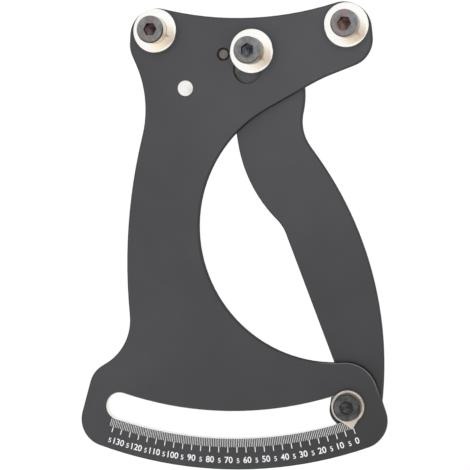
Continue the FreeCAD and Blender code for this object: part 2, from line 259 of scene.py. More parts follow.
def lengthOf(tree, first, second):
    squares = [mathNode(tree, "MULTIPLY", part, part) for part in (first, second)]
    return mathNode(tree, "SQRT", mathNode(tree, "ADD", *squares))


# blasted grain: a fine even pitting and a slow cloudiness
grainSettings = {"fineDetail": 3, "slowDetail": 5, "slowRoughness": 0.6}


def makeGrainGroup(settings):
    group, start, end = newGroup("blastedGrain", {"Vector": None, "Grain": 4000.0, "Cloud": 40.0},
                                 ("Height", "Clouds"))
    vector = start.outputs["Vector"]
    fine = addNode(group, "TexNoise", {"Vector": vector, "Scale": start.outputs["Grain"],
                                       "Detail": settings["fineDetail"]})
    slow = addNode(group, "TexNoise", {"Vector": vector, "Scale": start.outputs["Cloud"],
                                       "Detail": settings["slowDetail"],
                                       "Roughness": settings["slowRoughness"]})
    group.links.new(fine.outputs["Fac"], end.inputs["Height"])
    group.links.new(slow.outputs["Fac"], end.inputs["Clouds"])
    return group


# turning marks: rings round the piece's own axis, uneven in depth
ringSettings = {"scale": 4200, "detail": 4, "wave": 0.3}


def makeRingsGroup(settings):
    group, start, end = newGroup("turningMarks", {"Vector": None, "Rings": 30000.0},
                                 ("Height", "Bands"))
    parts = splitOf(group, start.outputs["Vector"])
    out = mathNode(group, "ADD", lengthOf(group, parts["X"], parts["Y"]), parts["Z"])
    wave = mathNode(group, "SINE", mathNode(group, "MULTIPLY", out, start.outputs["Rings"]))
    joined = addNode(group, "CombineXYZ", {"X": out})
    uneven = addNode(group, "TexNoise", {"Vector": joined.outputs[0], "Scale": settings["scale"],
                                         "Detail": settings["detail"]})
    height = mathNode(group, "ADD", mathNode(group, "MULTIPLY", wave, settings["wave"]),
                      uneven.outputs["Fac"])
    group.links.new(height, end.inputs["Height"])
    group.links.new(uneven.outputs["Fac"], end.inputs["Bands"])
    return group


# edges of the plates: one mask for the chamfers, one for the walls between them
edgeSettings = {"chamfer": 0.707, "near": 0.05, "far": 0.25, "upright": 0.3}


def makeChamferGroup(settings):
    group, start, end = newGroup("chamferCatch", {}, ("Mask", "Wall"))
    rise = mathNode(group, "ABSOLUTE", riseOf(group))
    offSlope = mathNode(group, "ABSOLUTE",
                        mathNode(group, "SUBTRACT", rise, settings["chamfer"]))
    group.links.new(spreadOf(group, offSlope, settings["near"], settings["far"], 1, 0),
                    end.inputs["Mask"])
    group.links.new(mathNode(group, "LESS_THAN", rise, settings["upright"]), end.inputs["Wall"])
    return group


# inside of a key's hole: under the head's face and within reach of its axis
holeDepths = (-0.28, -0.45)


def makeSocketGroup():
    group, start, end = newGroup("socketInside", {"Vector": None, "Reach": 0.002}, ("Mask",))
    parts = splitOf(group, start.outputs["Vector"])
    off = lengthOf(group, parts["X"], parts["Y"])
    near = mathNode(group, "LESS_THAN", off, start.outputs["Reach"])
    depth = spreadOf(group, parts["Z"], *(value * mm for value in holeDepths))
    group.links.new(mathNode(group, "MULTIPLY", near, depth), end.inputs["Mask"])
    return group


# walls of the arc slot, milled through the finish: a ring round the pivot between two angles
def makeSlotGroup():
    group, start, end = newGroup(
        "slotWalls", {"Vector": None, "Inner": 0.1, "Outer": 0.1, "Left": 0.0, "Right": 0.0},
        ("Mask",))
    parts = splitOf(group, start.outputs["Vector"])
    reach = lengthOf(group, parts["X"], parts["Y"])
    down = mathNode(group, "MULTIPLY", parts["Y"], -1)
    angle = mathNode(group, "ARCTAN2", parts["X"], down)
    inside = mathNode(group, "LESS_THAN", mathNode(group, "ABSOLUTE", riseOf(group)), level)
    for test, value, limit in (("GREATER_THAN", reach, "Inner"), ("LESS_THAN", reach, "Outer"),
                               ("GREATER_THAN", angle, "Left"), ("LESS_THAN", angle, "Right")):
        within = mathNode(group, test, value, start.outputs[limit])
        inside = mathNode(group, "MULTIPLY", inside, within)
    group.links.new(inside, end.inputs["Mask"])
    return group


# a flat patch round an axis: Mask is 1 inside the reach on faces that look up, Soft fades out
fadeFrom = 0.6


def makePatchGroup():
    group, start, end = newGroup("patchRound", {"Vector": None, "Reach": 0.002}, ("Mask", "Soft"))
    parts = splitOf(group, start.outputs["Vector"])
    off = lengthOf(group, parts["X"], parts["Y"])
    share = mathNode(group, "DIVIDE", off, start.outputs["Reach"])
    group.links.new(spreadOf(group, share, 1, fadeFrom), end.inputs["Soft"])
    up = mathNode(group, "GREATER_THAN", riseOf(group), level)
    near = mathNode(group, "LESS_THAN", off, start.outputs["Reach"])
    group.links.new(mathNode(group, "MULTIPLY", near, up), end.inputs["Mask"])
    return group


# painted shade gradient: the tone rises up the plate, and more so towards its right side
def makeDriftGroup():
    group, start, end = newGroup("paintedShadeGradient", {"Vector": None, "Rise": 0.0, "Slant": 0.0},
                                 ("Tone",))
    parts = splitOf(group, start.outputs["Vector"])
    slanted = mathNode(group, "MULTIPLY", parts["X"], start.outputs["Slant"])
    rate = mathNode(group, "ADD", slanted, start.outputs["Rise"])
    tone = mathNode(group, "ADD", mathNode(group, "MULTIPLY", rate, parts["Y"]), 1)
    group.links.new(tone, end.inputs["Tone"])
    return group


grainGroup = makeGrainGroup(grainSettings)
ringsGroup = makeRingsGroup(ringSettings)
chamferGroup = makeChamferGroup(edgeSettings)
socketGroup = makeSocketGroup()
slotGroup = makeSlotGroup()
patchGroup = makePatchGroup()
shadeGradientGroup = makeDriftGroup()
print("node groups ready")


# finishes

def newMaterial(name):
    material = bpy.data.materials.new(name)
    material.use_nodes = True
    tree = material.node_tree
    shader = tree.nodes["Principled BSDF"]
    return material, tree, shader


def placedCoordinates(tree, centre=(0, 0, 0)):
    coordinates = addNode(tree, "TexCoord")
    return addNode(tree, "Mapping", {"Vector": coordinates.outputs["Object"],
                                     "Location": [-value for value in centre]}).outputs[0]


def groupNode(tree, group, vector=None, **values):
    if vector is not None:
        values["Vector"] = vector
    return addNode(tree, "Group", values, node_tree=group)


def colourRamp(tree, source, stops):
    ramp = addNode(tree, "ValToRGB", {0: source})
    ramp.color_ramp.elements[0].position = stops[0][0]
    ramp.color_ramp.elements[0].color = (*stops[0][1], 1)
    ramp.color_ramp.elements[1].position = stops[-1][0]
    ramp.color_ramp.elements[1].color = (*stops[-1][1], 1)
    for position, colour in stops[1:-1]:
        ramp.color_ramp.elements.new(position).color = (*colour, 1)
    return ramp.outputs[0]


# a noise lies mostly between these two values
noiseEnds = (0.3, 0.7)


def rangeOf(tree, source, low, high):
    return spreadOf(tree, source, *noiseEnds, low, high)


def tonesOf(tree, source, settings, ends=noiseEnds):
    return colourRamp(tree, source, [(ends[0], settings["dark"]), (ends[1], settings["light"])])


def bumpOn(tree, shader, height, strength, distance):
    bump = addNode(tree, "Bump", {"Strength": strength, "Distance": distance, "Height": height})
    tree.links.new(bump.outputs["Normal"], shader.inputs["Normal"])


# a mix node's colours are its inputs 6 and 7 and its output 2
def mixColours(tree, mask, first, second, way="MIX"):
    first, second = ((*colour, 1) if isinstance(colour, tuple) else colour
                     for colour in (first, second))
    return addNode(tree, "Mix", {0: mask, 6: first, 7: second}, data_type="RGBA",
                   blend_type=way).outputs[2]


plateFinish = {"dark": (0.047, 0.047, 0.051), "light": (0.06, 0.06, 0.065),
               "rise": 2.7, "slant": 65.0,
               "edge": (0.064, 0.064, 0.068), "paintedGlintAndShade": (0.16, 0.16, 0.165),
               "glintAndShadeAt": (0.0395, -0.042, 0), "glintAndShadeReach": 13, "wall": (0.1, 0.1, 0.104),
               "paintedContactShade": (0.012, 0.012, 0.013), "contactShadeAt": (14, -18), "contactShadeReach": 16,
               "low": 0.46, "high": 0.58, "gloss": 0.3, "grain": 5200.0, "cloud": 38.0,
               "bump": 0.18, "distance": 0.00004, "polish": 0.25,
               "bare": (0.84, 0.84, 0.83), "slotInner": 114.7, "slotOuter": 123.95,
               "slotLeft": -19.6, "slotRight": 18.5, "paintedPivotTone": (0.006, 0.006, 0.006),
               "paintedPivotReach": 2.16, "shift": (0, 0, 0)}
leverFinish = {**plateFinish, "shift": (0.13, 0.07, 0), "contactShadeReach": 0.1, "glintAndShadeReach": 0.1,
               "paintedPivotTone": (0.1, 0.1, 0.102), "paintedPivotReach": 14.5}


# satin anodised plate: fine pitting, faint clouds, a painted shade gradient, lighter walls as painted
# light, painted contact shadow and a painted chamfer highlight where the plates lie close, and round
# the pivot painted shade on the main plate and painted light on the lever
def makePlateMaterial(name, settings, slotted):
    material, tree, shader = newMaterial(name)
    place = placedCoordinates(tree, settings["shift"])
    grain = groupNode(tree, grainGroup, place, Grain=settings["grain"], Cloud=settings["cloud"])
    body = tonesOf(tree, grain.outputs["Clouds"], settings)
    # painted shade: darker down the plate, and more so towards its lower right
    shadeGradient = groupNode(tree, shadeGradientGroup, placedCoordinates(tree), Rise=settings["rise"],
                      Slant=settings["slant"])
    body = mixColours(tree, 1, body, shadeGradient.outputs["Tone"], "MULTIPLY")
    # painted highlight: the chamfers take a lighter tone, lighter still round one spot near the lever
    edges = groupNode(tree, chamferGroup)
    paintedGlintAndShade = groupNode(tree, patchGroup, placedCoordinates(tree, settings["glintAndShadeAt"]),
                       Reach=settings["glintAndShadeReach"] * mm)
    edge = mixColours(tree, paintedGlintAndShade.outputs["Soft"], settings["edge"], settings["paintedGlintAndShade"])
    shown = mixColours(tree, edges.outputs["Mask"], body, edge)
    # painted light and shade on the walls: all upright walls lighter, with a painted contact shadow
    # where the plates lie close
    awayX, awayY = settings["contactShadeAt"]
    contactShadeAt = (pivotAt.x + awayX * mm, pivotAt.y + awayY * mm, 0)
    paintedContactShade = groupNode(tree, patchGroup, placedCoordinates(tree, contactShadeAt),
                        Reach=settings["contactShadeReach"] * mm)
    shaded = mathNode(tree, "MAXIMUM", paintedContactShade.outputs["Soft"], paintedGlintAndShade.outputs["Soft"])
    wall = mixColours(tree, shaded, settings["wall"], settings["paintedContactShade"])
    shown = mixColours(tree, edges.outputs["Wall"], shown, wall)
    rough = rangeOf(tree, grain.outputs["Clouds"], settings["low"], settings["high"])
    # painted shade round the pivot's hole on the main plate; painted light on the lever's face round
    # the pivot, seen through the slot
    fromPivot = placedCoordinates(tree, (pivotAt.x, pivotAt.y, 0))
    paintedPivotTone = groupNode(tree, patchGroup, fromPivot, Reach=settings["paintedPivotReach"] * mm)
    shown = mixColours(tree, paintedPivotTone.outputs["Mask"], shown, settings["paintedPivotTone"])
    if slotted:
        walls = groupNode(tree, slotGroup, fromPivot, Inner=settings["slotInner"] * mm,
                          Outer=settings["slotOuter"] * mm, Left=radians(settings["slotLeft"]),
                          Right=radians(settings["slotRight"])).outputs["Mask"]
        shown = mixColours(tree, walls, shown, settings["bare"])
        tree.links.new(walls, shader.inputs["Metallic"])
        rough = mathNode(tree, "SUBTRACT", rough,
                         mathNode(tree, "MULTIPLY", walls, settings["polish"]))
    tree.links.new(shown, shader.inputs["Base Color"])
    tree.links.new(rough, shader.inputs["Roughness"])
    bumpOn(tree, shader, grain.outputs["Height"], settings["bump"], settings["distance"])
    cut = mathNode(tree, "MAXIMUM", edges.outputs["Mask"], edges.outputs["Wall"])
    tree.links.new(mathNode(tree, "MULTIPLY", mathNode(tree, "SUBTRACT", 1, cut),
                            settings["gloss"]), shader.inputs["Specular IOR Level"])
    return material


plateMaterial = makePlateMaterial("plateAnodised", plateFinish, True)
leverMaterial = makePlateMaterial("leverAnodised", leverFinish, False)

turnedFinishes = {
    "nickel": {"dark": (0.92, 0.9, 0.85), "light": (0.98, 0.975, 0.955), "metallic": 1.0,
               "low": 0.14, "high": 0.22, "rings": 12000.0, "bump": 0.3, "distance": 0.00003},
    "bright": {"dark": (0.78, 0.78, 0.78), "light": (0.9, 0.9, 0.9), "metallic": 1.0,
               "low": 0.3, "high": 0.4, "rings": 26000.0, "bump": 0.2, "distance": 0.00003},
    "steel": {"dark": (0.42, 0.42, 0.42), "light": (0.62, 0.62, 0.61), "metallic": 1.0,
              "low": 0.28, "high": 0.42, "rings": 30000.0, "bump": 0.3, "distance": 0.00003},
    "browned": {"dark": (0.14, 0.125, 0.115), "light": (0.19, 0.17, 0.158), "metallic": 0.8,
                "low": 0.35, "high": 0.5, "rings": 30000.0, "bump": 0.3, "distance": 0.00003},
    "black": {"dark": (0.17, 0.17, 0.165), "light": (0.32, 0.32, 0.31), "metallic": 0.85,
              "low": 0.3, "high": 0.46, "rings": 24000.0, "bump": 0.16, "distance": 0.00003,
              "coat": 0.2, "patches": 700.0, "cool": (0.15, 0.18, 0.19),
              "flank": (0.1, 0.095, 0.09)},
    "oiled": {"dark": (0.03, 0.03, 0.031), "light": (0.05, 0.051, 0.054), "metallic": 0.6,
              "low": 0.2, "high": 0.34, "rings": 24000.0, "bump": 0.12, "distance": 0.00003,
              "coat": 0.3, "patches": 500.0, "flank": (0.02, 0.018, 0.015)},
    "bronze": {"dark": (0.42, 0.27, 0.12), "light": (0.6, 0.42, 0.2), "metallic": 1.0,
               "low": 0.3, "high": 0.45, "rings": 24000.0, "bump": 0.3, "distance": 0.00003},
}
turnedBands = (0.35, 0.65)
oilSettings = {"grain": 900.0, "cloud": 320.0, "cool": (-0.6, 1.4), "tint": (-0.6, 1.5),
               "coatRoughness": 0.12}
sideSettings = {"upright": 0.25, "leaning": 0.985, "reach": 4.2, "fade": 0.5, "paintedSheen": (0.5, 0.72)}


# a head's side, and its rounded edge where that turns down, by how the surface leans
def makeSideGroup(settings):
    group, start, end = newGroup("leaningSides", {"Along": 0.0}, ("Edge", "Side"))
    rise = riseOf(group)
    side = mathNode(group, "LESS_THAN", rise, settings["upright"])
    leaning = mathNode(group, "LESS_THAN", rise, settings["leaning"])
    group.links.new(side, end.inputs["Side"])
    edge = mathNode(group, "SUBTRACT", leaning, side)
    group.links.new(mathNode(group, "MULTIPLY", edge, start.outputs["Along"]), end.inputs["Edge"])
    return group


sideGroup = makeSideGroup(sideSettings)


# a soft oval spot on the line that leaves the axis at an angle
def spotMask(tree, place, paintedSpot):
    angle = radians(paintedSpot["angle"])
    outward = mathNode(tree, "SUBTRACT", alongNode(tree, place, (cos(angle), sin(angle), 0)),
                       paintedSpot["radius"] * mm)
    outward = mathNode(tree, "DIVIDE", outward, paintedSpot["long"] * mm)
    aside = mathNode(tree, "DIVIDE", alongNode(tree, place, (-sin(angle), cos(angle), 0)),
                     paintedSpot["wide"] * mm)
    return spreadOf(tree, lengthOf(tree, outward, aside), 1, 0, 0, paintedSpot["strength"])


# turned metal: marks round the piece's axis, bands in colour and in gloss
def makeTurnedMaterial(name, kind, centre, tint=None, paintedSpots=()):
    settings = turnedFinishes[kind]
    material, tree, shader = newMaterial(name)
    place = placedCoordinates(tree, (centre.x, centre.y, 0))
    rings = groupNode(tree, ringsGroup, place, Rings=settings["rings"])
    shown = tonesOf(tree, rings.outputs["Bands"], settings, turnedBands)
    if tint:   # oil and heat leave patches of other tones
        patches = groupNode(tree, grainGroup, place, Cloud=oilSettings["cloud"],
                            Grain=settings.get("patches", oilSettings["grain"]))
        if "cool" in settings:
            cooled = rangeOf(tree, patches.outputs["Height"], *oilSettings["cool"])
            shown = mixColours(tree, cooled, shown, settings["cool"])
        tinted = rangeOf(tree, patches.outputs["Clouds"], *oilSettings["tint"])
        shown = mixColours(tree, tinted, shown, tint)
    for paintedSpot in paintedSpots:   # painted shade and reflections on the face
        shown = mixColours(tree, spotMask(tree, place, paintedSpot), shown, paintedSpot["colour"])
    tree.links.new(shown, shader.inputs["Base Color"])
    shader.inputs["Metallic"].default_value = settings["metallic"]
    tree.links.new(rangeOf(tree, rings.outputs["Bands"], settings["low"], settings["high"]),
                   shader.inputs["Roughness"])
    bumpOn(tree, shader, rings.outputs["Height"], settings["bump"], settings["distance"])
    shader.inputs["Coat Weight"].default_value = settings.get("coat", 0)
    shader.inputs["Coat Roughness"].default_value = oilSettings["coatRoughness"]
    return material


# painted shade: a darker edge towards one side; painted sheen and reflection: the knurled wall is dark
# and takes a per-screw tint where it is seen along it
def toneSides(material, at, edge, side, flank, towards, start):
    tree = material.node_tree
    shader = tree.nodes["Principled BSDF"]
    place = placedCoordinates(tree, (at.x, at.y, 0))
    share = mathNode(tree, "DIVIDE", alongNode(tree, place, towards), sideSettings["reach"] * mm)
    sides = groupNode(tree, sideGroup)
    tree.links.new(spreadOf(tree, share, start, start + sideSettings["fade"]),
                   sides.inputs["Along"])
    # painted shade on the rounded edge, towards one side
    shown = shader.inputs["Base Color"].links[0].from_socket
    shown = mixColours(tree, sides.outputs["Edge"], shown, edge)
    # painted sheen: the side wall turns to its painted reflection tint where it is seen along it
    slanted = addNode(tree, "LayerWeight")
    paintedSheen = spreadOf(tree, slanted.outputs["Facing"], *sideSettings["paintedSheen"])
    side = mixColours(tree, paintedSheen, flank, side)
    tree.links.new(mixColours(tree, sides.outputs["Side"], shown, side),
                   shader.inputs["Base Color"])


# painted shade and dirt in a key's hole, darker towards one side, laid over the finish that is there
socketShadeAndDirt = {"grain": 1400.0, "cloud": 900.0, "towards": (-1, -0.8, 0), "lean": 0.3,
                "tones": [(0.3, 0.3), (0.5, 1.1), (0.75, 3.2)]}


def darkenSocket(material, at, top, reach, colour):
    tree = material.node_tree
    shader = tree.nodes["Principled BSDF"]
    place = placedCoordinates(tree, (at.x, at.y, top))
    hole = groupNode(tree, socketGroup, place, Reach=reach)
    worn = shader.inputs["Base Color"].links[0].from_socket
    smudge = groupNode(tree, grainGroup, place, Grain=socketShadeAndDirt["grain"],
                       Cloud=socketShadeAndDirt["cloud"])
    lean = mathNode(tree, "MULTIPLY", alongNode(tree, place, socketShadeAndDirt["towards"]),
                    socketShadeAndDirt["lean"] / reach)
    inside = colourRamp(tree, mathNode(tree, "ADD", smudge.outputs["Clouds"], lean),
                        [(position, tuple(share * value for value in colour))
                         for position, share in socketShadeAndDirt["tones"]])
    tree.links.new(mixColours(tree, hole.outputs["Mask"], worn, inside),
                   shader.inputs["Base Color"])
    outside = mathNode(tree, "SUBTRACT", 1, hole.outputs["Mask"])
    coat = shader.inputs["Coat Weight"]
    tree.links.new(mathNode(tree, "MULTIPLY", outside, coat.default_value), coat)


# plain finishes: two tones and a gloss, each by a slow or a fine noise
plainFinishes = {
    "pointerSatin": {"dark": (0.49, 0.44, 0.385), "light": (0.67, 0.61, 0.54), "tone": "Clouds",
                     "grain": 3600.0, "cloud": 300.0, "metallic": 0.8, "gloss": "Height",
                     "low": 0.34, "high": 0.5, "bump": 0.15, "distance": 0.00003},
    "scalePrint": {"dark": (0.86, 0.86, 0.86), "light": (0.95, 0.95, 0.95), "tone": "Height",
                   "ends": (0.3, 0.6), "grain": 5000.0, "cloud": 900.0, "gloss": "Clouds",
                   "low": 0.5, "high": 0.65, "bump": 0.1, "distance": 0.00001},
    "nylonGrey": {"dark": (0.13, 0.13, 0.13), "light": (0.17, 0.17, 0.17), "tone": "Clouds",
                  "grain": 2600.0, "cloud": 200.0, "gloss": "Height", "low": 0.45, "high": 0.6,
                  "bump": 0.1, "distance": 0.00002, "subsurface": 0.05},
    "springWire": {"dark": (0.3, 0.3, 0.31), "light": (0.5, 0.5, 0.51), "tone": "Clouds",
                   "grain": 3.0, "cloud": 1.2, "metallic": 1.0, "gloss": "Height", "low": 0.25,
                   "high": 0.4, "bump": 0.12, "distance": 0.00002, "stretch": (2, 60, 1)},
}


# by the piece's own UV map, for marks that run along it
def stretchedCoordinates(tree, stretch):
    coordinates = addNode(tree, "TexCoord")
    return addNode(tree, "Mapping", {"Vector": coordinates.outputs["UV"],
                                     "Scale": stretch}).outputs[0]


def makePlainMaterial(name):
    settings = plainFinishes[name]
    material, tree, shader = newMaterial(name)
    if "stretch" in settings:
        vector = stretchedCoordinates(tree, settings["stretch"])
    else:
        vector = placedCoordinates(tree)
    grain = groupNode(tree, grainGroup, vector, Grain=settings["grain"], Cloud=settings["cloud"])
    tree.links.new(tonesOf(tree, grain.outputs[settings["tone"]], settings,
                           settings.get("ends", noiseEnds)), shader.inputs["Base Color"])
    tree.links.new(rangeOf(tree, grain.outputs[settings["gloss"]], settings["low"],
                           settings["high"]), shader.inputs["Roughness"])
    shader.inputs["Metallic"].default_value = settings.get("metallic", 0)
    if "subsurface" in settings:
        shader.inputs["Subsurface Weight"].default_value = settings["subsurface"]
        shader.inputs["Subsurface Scale"].default_value = 1 * mm
    bumpOn(tree, shader, grain.outputs["Height"], settings["bump"], settings["distance"])
    return material


pointerMaterial = makePlainMaterial("pointerSatin")
printMaterial = makePlainMaterial("scalePrint")
nylonMaterial = makePlainMaterial("nylonGrey")
wireMaterial = makePlainMaterial("springWire")
print("finishes ready")


# the plates keep their CAD shapes

for node, material in (("main_plate", plateMaterial), ("lever_plate", leverMaterial)):
    nodes[node].data.materials.clear()
    nodes[node].data.materials.append(material)
print("plates finished")


# spools

spoolSettings = {"radius": 7.0, "rimBreak": 0.3, "flange": 1.6, "slope": 0.7, "hub": 5.2,
                 "crown": 0.32, "crownSteps": 6, "crownStart": 3.4, "fall": 1.5, "bevel": 0.1,
                 "sides": 128, "play": {"right_spool": -0.14}}


# painted shade and reflection on the spools' faces: dark beside each screw's head, and on two a warm
# painted reflection lower down
spoolPaintedShadeAndReflections = {
    "left_spool": [{"angle": -22, "radius": 4.2, "long": 1.5, "wide": 0.55, "strength": 0.8,
                    "colour": (0.3, 0.22, 0.15)},
                   {"angle": -75, "radius": 5.2, "long": 3.2, "wide": 4.2, "strength": 1.0,
                    "colour": (0.95, 0.84, 0.66)}],
    "moving_spool": [{"angle": -33, "radius": 4.2, "long": 1.4, "wide": 0.9, "strength": 0.6,
                      "colour": (0.5, 0.36, 0.26)}],
    "right_spool": [{"angle": -37, "radius": 4.3, "long": 1.7, "wide": 0.8, "strength": 0.8,
                     "colour": (0.34, 0.28, 0.2)},
                    {"angle": -60, "radius": 5.0, "long": 2.6, "wide": 4.0, "strength": 0.5,
                     "colour": (0.98, 0.93, 0.76)}],
}


def makeSpool(node, body, settings):
    low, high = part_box(node)
    at = middleOf(node) + Vector((settings["play"].get(node, 0) * mm, 0, 0))
    rim, rimBreak = settings["radius"] * mm, settings["rimBreak"] * mm
    hub = settings["hub"] * mm
    under = high.z - settings["flange"] * mm
    crown, crownStart = settings["crown"] * mm, settings["crownStart"] * mm
    rings = [(hub - rimBreak, low.z), (hub, low.z + rimBreak),
             (hub, under - settings["slope"] * mm), (rim, under),
             (rim, high.z - crown - rimBreak)]
    for step in range(settings["crownSteps"] + 1):   # the face falls off towards its rim
        share = 1 - step / settings["crownSteps"]
        radius = crownStart + (rim - rimBreak - crownStart) * share
        rings.append((radius, high.z - crown * share ** settings["fall"]))
    piece = turnPiece(rings, at, settings["sides"])
    roundEdges(piece, settings["bevel"] * mm, limit=25)
    smoothPiece(piece)
    material = makeTurnedMaterial(node + "Nickel", "nickel", at, None, spoolPaintedShadeAndReflections[node])
    return dressPiece(piece, node + "Turned", material, body, (node,))


for node, body in (("left_spool", "main_body"), ("right_spool", "main_body"),
                   ("moving_spool", "lever")):
    makeSpool(node, body, spoolSettings)
print("spools turned")


# socket head screws

# each screw's edge and side tones below are painted shade and painted reflection
screwSettings = {
    "left_spool_screw": {"body": "main_body", "turn": 30, "deep": 2.6, "head": 5.0, "knurls": 60,
                         "off": (-0.2, 0.1), "sunk": 0.05, "shade": ((0.4, -1, 0), -0.1),
                         "tint": (0.19, 0.155, 0.16), "edge": (0.06, 0.055, 0.045),
                         "side": (0.82, 0.74, 0.64), "socket": (0.06, 0.04, 0.042)},
    "right_spool_screw": {"body": "main_body", "turn": 25, "deep": 2.6, "head": 5.0, "knurls": 60,
                          "off": (0.05, 0.2), "sunk": 0.22, "shade": ((-0.6, -1, 0), 0.1),
                          "tint": (0.26, 0.2, 0.21), "edge": (0.11, 0.1, 0.08),
                          "side": (0.36, 0.33, 0.3), "socket": (0.085, 0.05, 0.043)},
    "moving_spool_screw": {"body": "lever", "turn": 4, "deep": 2.6, "head": 5.0, "knurls": 60,
                           "off": (-0.3, 0.12), "sunk": 0.22, "shade": ((-0.1, -1, 0), 0.1),
                           "tint": (0.17, 0.155, 0.16), "edge": (0.12, 0.1, 0.085),
                           "side": (0.17, 0.125, 0.1), "socket": (0.05, 0.052, 0.063)},
    "pointer_screw": {"body": "lever", "turn": 12, "deep": 2.0, "head": 3.5, "knurls": 0,
                      "off": (0, 0), "sunk": 0.05, "shade": ((0, 1, 0), -0.9),
                      "tint": (0.1, 0.105, 0.12), "edge": (0.02, 0.018, 0.012),
                      "side": (0.02, 0.018, 0.012), "socket": (0.03, 0.03, 0.03)},
}
# sizes that all four share; the head's rounding is a list of (inwards, down) steps
capSizes = {"shank": 2.5, "head": 4.35, "lead": 0.45, "flats": 3.85, "neck": 0.2, "foot": 0.15,
            "wall": 0.3, "rounding": [(0, 0.5), (0, 0.32), (0.08, 0.17), (0.23, 0.06), (0.45, 0),
                                      (1.0, 0)],
            "dish": 0.63, "dishFloor": 0.5, "above": 0.5, "bevel": 0.07, "shadeAndDirtReach": 0.62,
            "knurlLow": 0.25, "knurlHigh": 0.4, "knurlDepth": 0.06, "sides": 120}


# straight knurling: every second line of points on the head's side moves in
def knurlSide(piece, at, radius, low, high, depth, knurls):
    clearPoints(piece)
    for point in piece.data.vertices:
        across, along = point.co.x - at.x, point.co.y - at.y
        line = round(atan2(along, across) / pi * knurls)
        point.select = (line % 2 == 0 and abs(hypot(across, along) - radius) < depth / 2
                        and low < point.co.z < high)
    editMesh()
    shrink = 1 - depth / radius
    bpy.ops.transform.resize(value=(shrink, shrink, 1), center_override=(at.x, at.y, high))
    leaveMesh()


def makeCapScrew(node, settings, sizes):
    low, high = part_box(node)
    at = middleOf(node) + Vector((*settings["off"], 0)) * mm
    shank, headRadius, lead = sizes["shank"] * mm, sizes["head"] * mm, sizes["lead"] * mm
    flats, neck, foot = sizes["flats"] * mm, sizes["neck"] * mm, sizes["foot"] * mm
    seat = high.z - settings["head"] * mm
    rings = [(shank - lead, low.z), (shank, low.z + lead), (shank, seat - neck),
             (shank + neck, seat), (headRadius - foot, seat), (headRadius, seat + foot),
             (headRadius, seat + sizes["wall"] * mm)]
    for inwards, down in sizes["rounding"]:
        rings.append((headRadius - inwards * mm, high.z - down * mm))
    rings += [(flats * sizes["dish"], high.z),
              (flats * sizes["dishFloor"], high.z - settings["sunk"] * mm)]
    piece = turnPiece(rings, at, sizes["sides"])
    cutWith(piece, hexCutter(at, high.z - settings["deep"] * mm, high.z + sizes["above"] * mm,
                             flats, settings["turn"], 1))
    roundEdges(piece, sizes["bevel"] * mm, limit=40)
    if settings["knurls"]:
        knurlSide(piece, at, headRadius, seat + sizes["knurlLow"] * mm,
                  high.z - sizes["knurlHigh"] * mm, sizes["knurlDepth"] * mm, settings["knurls"])
    smoothPiece(piece)
    kind = "oiled" if node == "pointer_screw" else "black"
    material = makeTurnedMaterial(node + "Oxide", kind, at, settings["tint"])
    toneSides(material, at, settings["edge"], settings["side"], turnedFinishes[kind]["flank"],
              *settings["shade"])
    darkenSocket(material, at, high.z, flats * sizes["shadeAndDirtReach"], settings["socket"])
    return dressPiece(piece, node + "Head", material, settings["body"], (node,))


for node, settings in screwSettings.items():
    makeCapScrew(node, settings, capSizes)
print("screws made")


# pivot: shoulder screw from the back, its thread end in front

pivotSettings = {"head": 4.5, "headHeight": 3.0, "lead": 0.45, "foot": 0.15, "shoulder": 2.5,
                 "thread": 2.0, "neck": 0.1, "tip": 1.55, "tipLength": 1.1, "tipBreak": 0.12,
                 "flats": 3.0, "deep": 1.8, "above": 0.5, "turn": 15, "bevel": 0.06,
                 "tint": (0.16, 0.13, 0.115)}


def makePivot(settings):
    low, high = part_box("pivot_screw")
    at = middleOf("pivot_screw")
    head, shoulder = settings["head"] * mm, settings["shoulder"] * mm
    headTop = low.z + settings["headHeight"] * mm
    thread, tip = settings["thread"] * mm, settings["tip"] * mm
    neck = high.z - settings["tipLength"] * mm
    lead, foot, tipBreak = (settings[key] * mm for key in ("lead", "foot", "tipBreak"))
    rings = [(head - lead, low.z), (head, low.z + lead), (head, headTop - foot),
             (head - foot, headTop), (shoulder, headTop), (shoulder, plateBack),
             (thread, plateBack), (thread, neck), (tip, neck + settings["neck"] * mm),
             (tip, high.z - tipBreak), (tip - tipBreak, high.z)]
    piece = turnPiece(rings, at)
    cutWith(piece, hexCutter(at, low.z - settings["above"] * mm, low.z + settings["deep"] * mm,
                             settings["flats"] * mm, settings["turn"], -1))
    roundEdges(piece, settings["bevel"] * mm, limit=40)
    smoothPiece(piece)
    material = makeTurnedMaterial("pivotSteel", "browned", at, settings["tint"])
    return dressPiece(piece, "pivotShoulderScrew", material, "main_body", ("pivot_screw",))


makePivot(pivotSettings)
print("pivot made")


# spring post with its peened end, and the spring's pin

postSettings = {"radius": 2.5, "seat": 2.1, "lead": 0.4, "leg": 1.4, "legHalf": 0.85,
                "crown": 0.3, "dome": (0.93, 0.8, 0.6, 0.38, 0.15), "bevel": 0.08,
                "grain": 1500.0, "cloud": 500.0, "bump": 0.7, "distance": 0.00012}
pinSettings = {"radius": 1.5, "head": 2.1, "headHeight": 0.6, "lead": 0.15, "bevel": 0.05,
               "sides": 64}


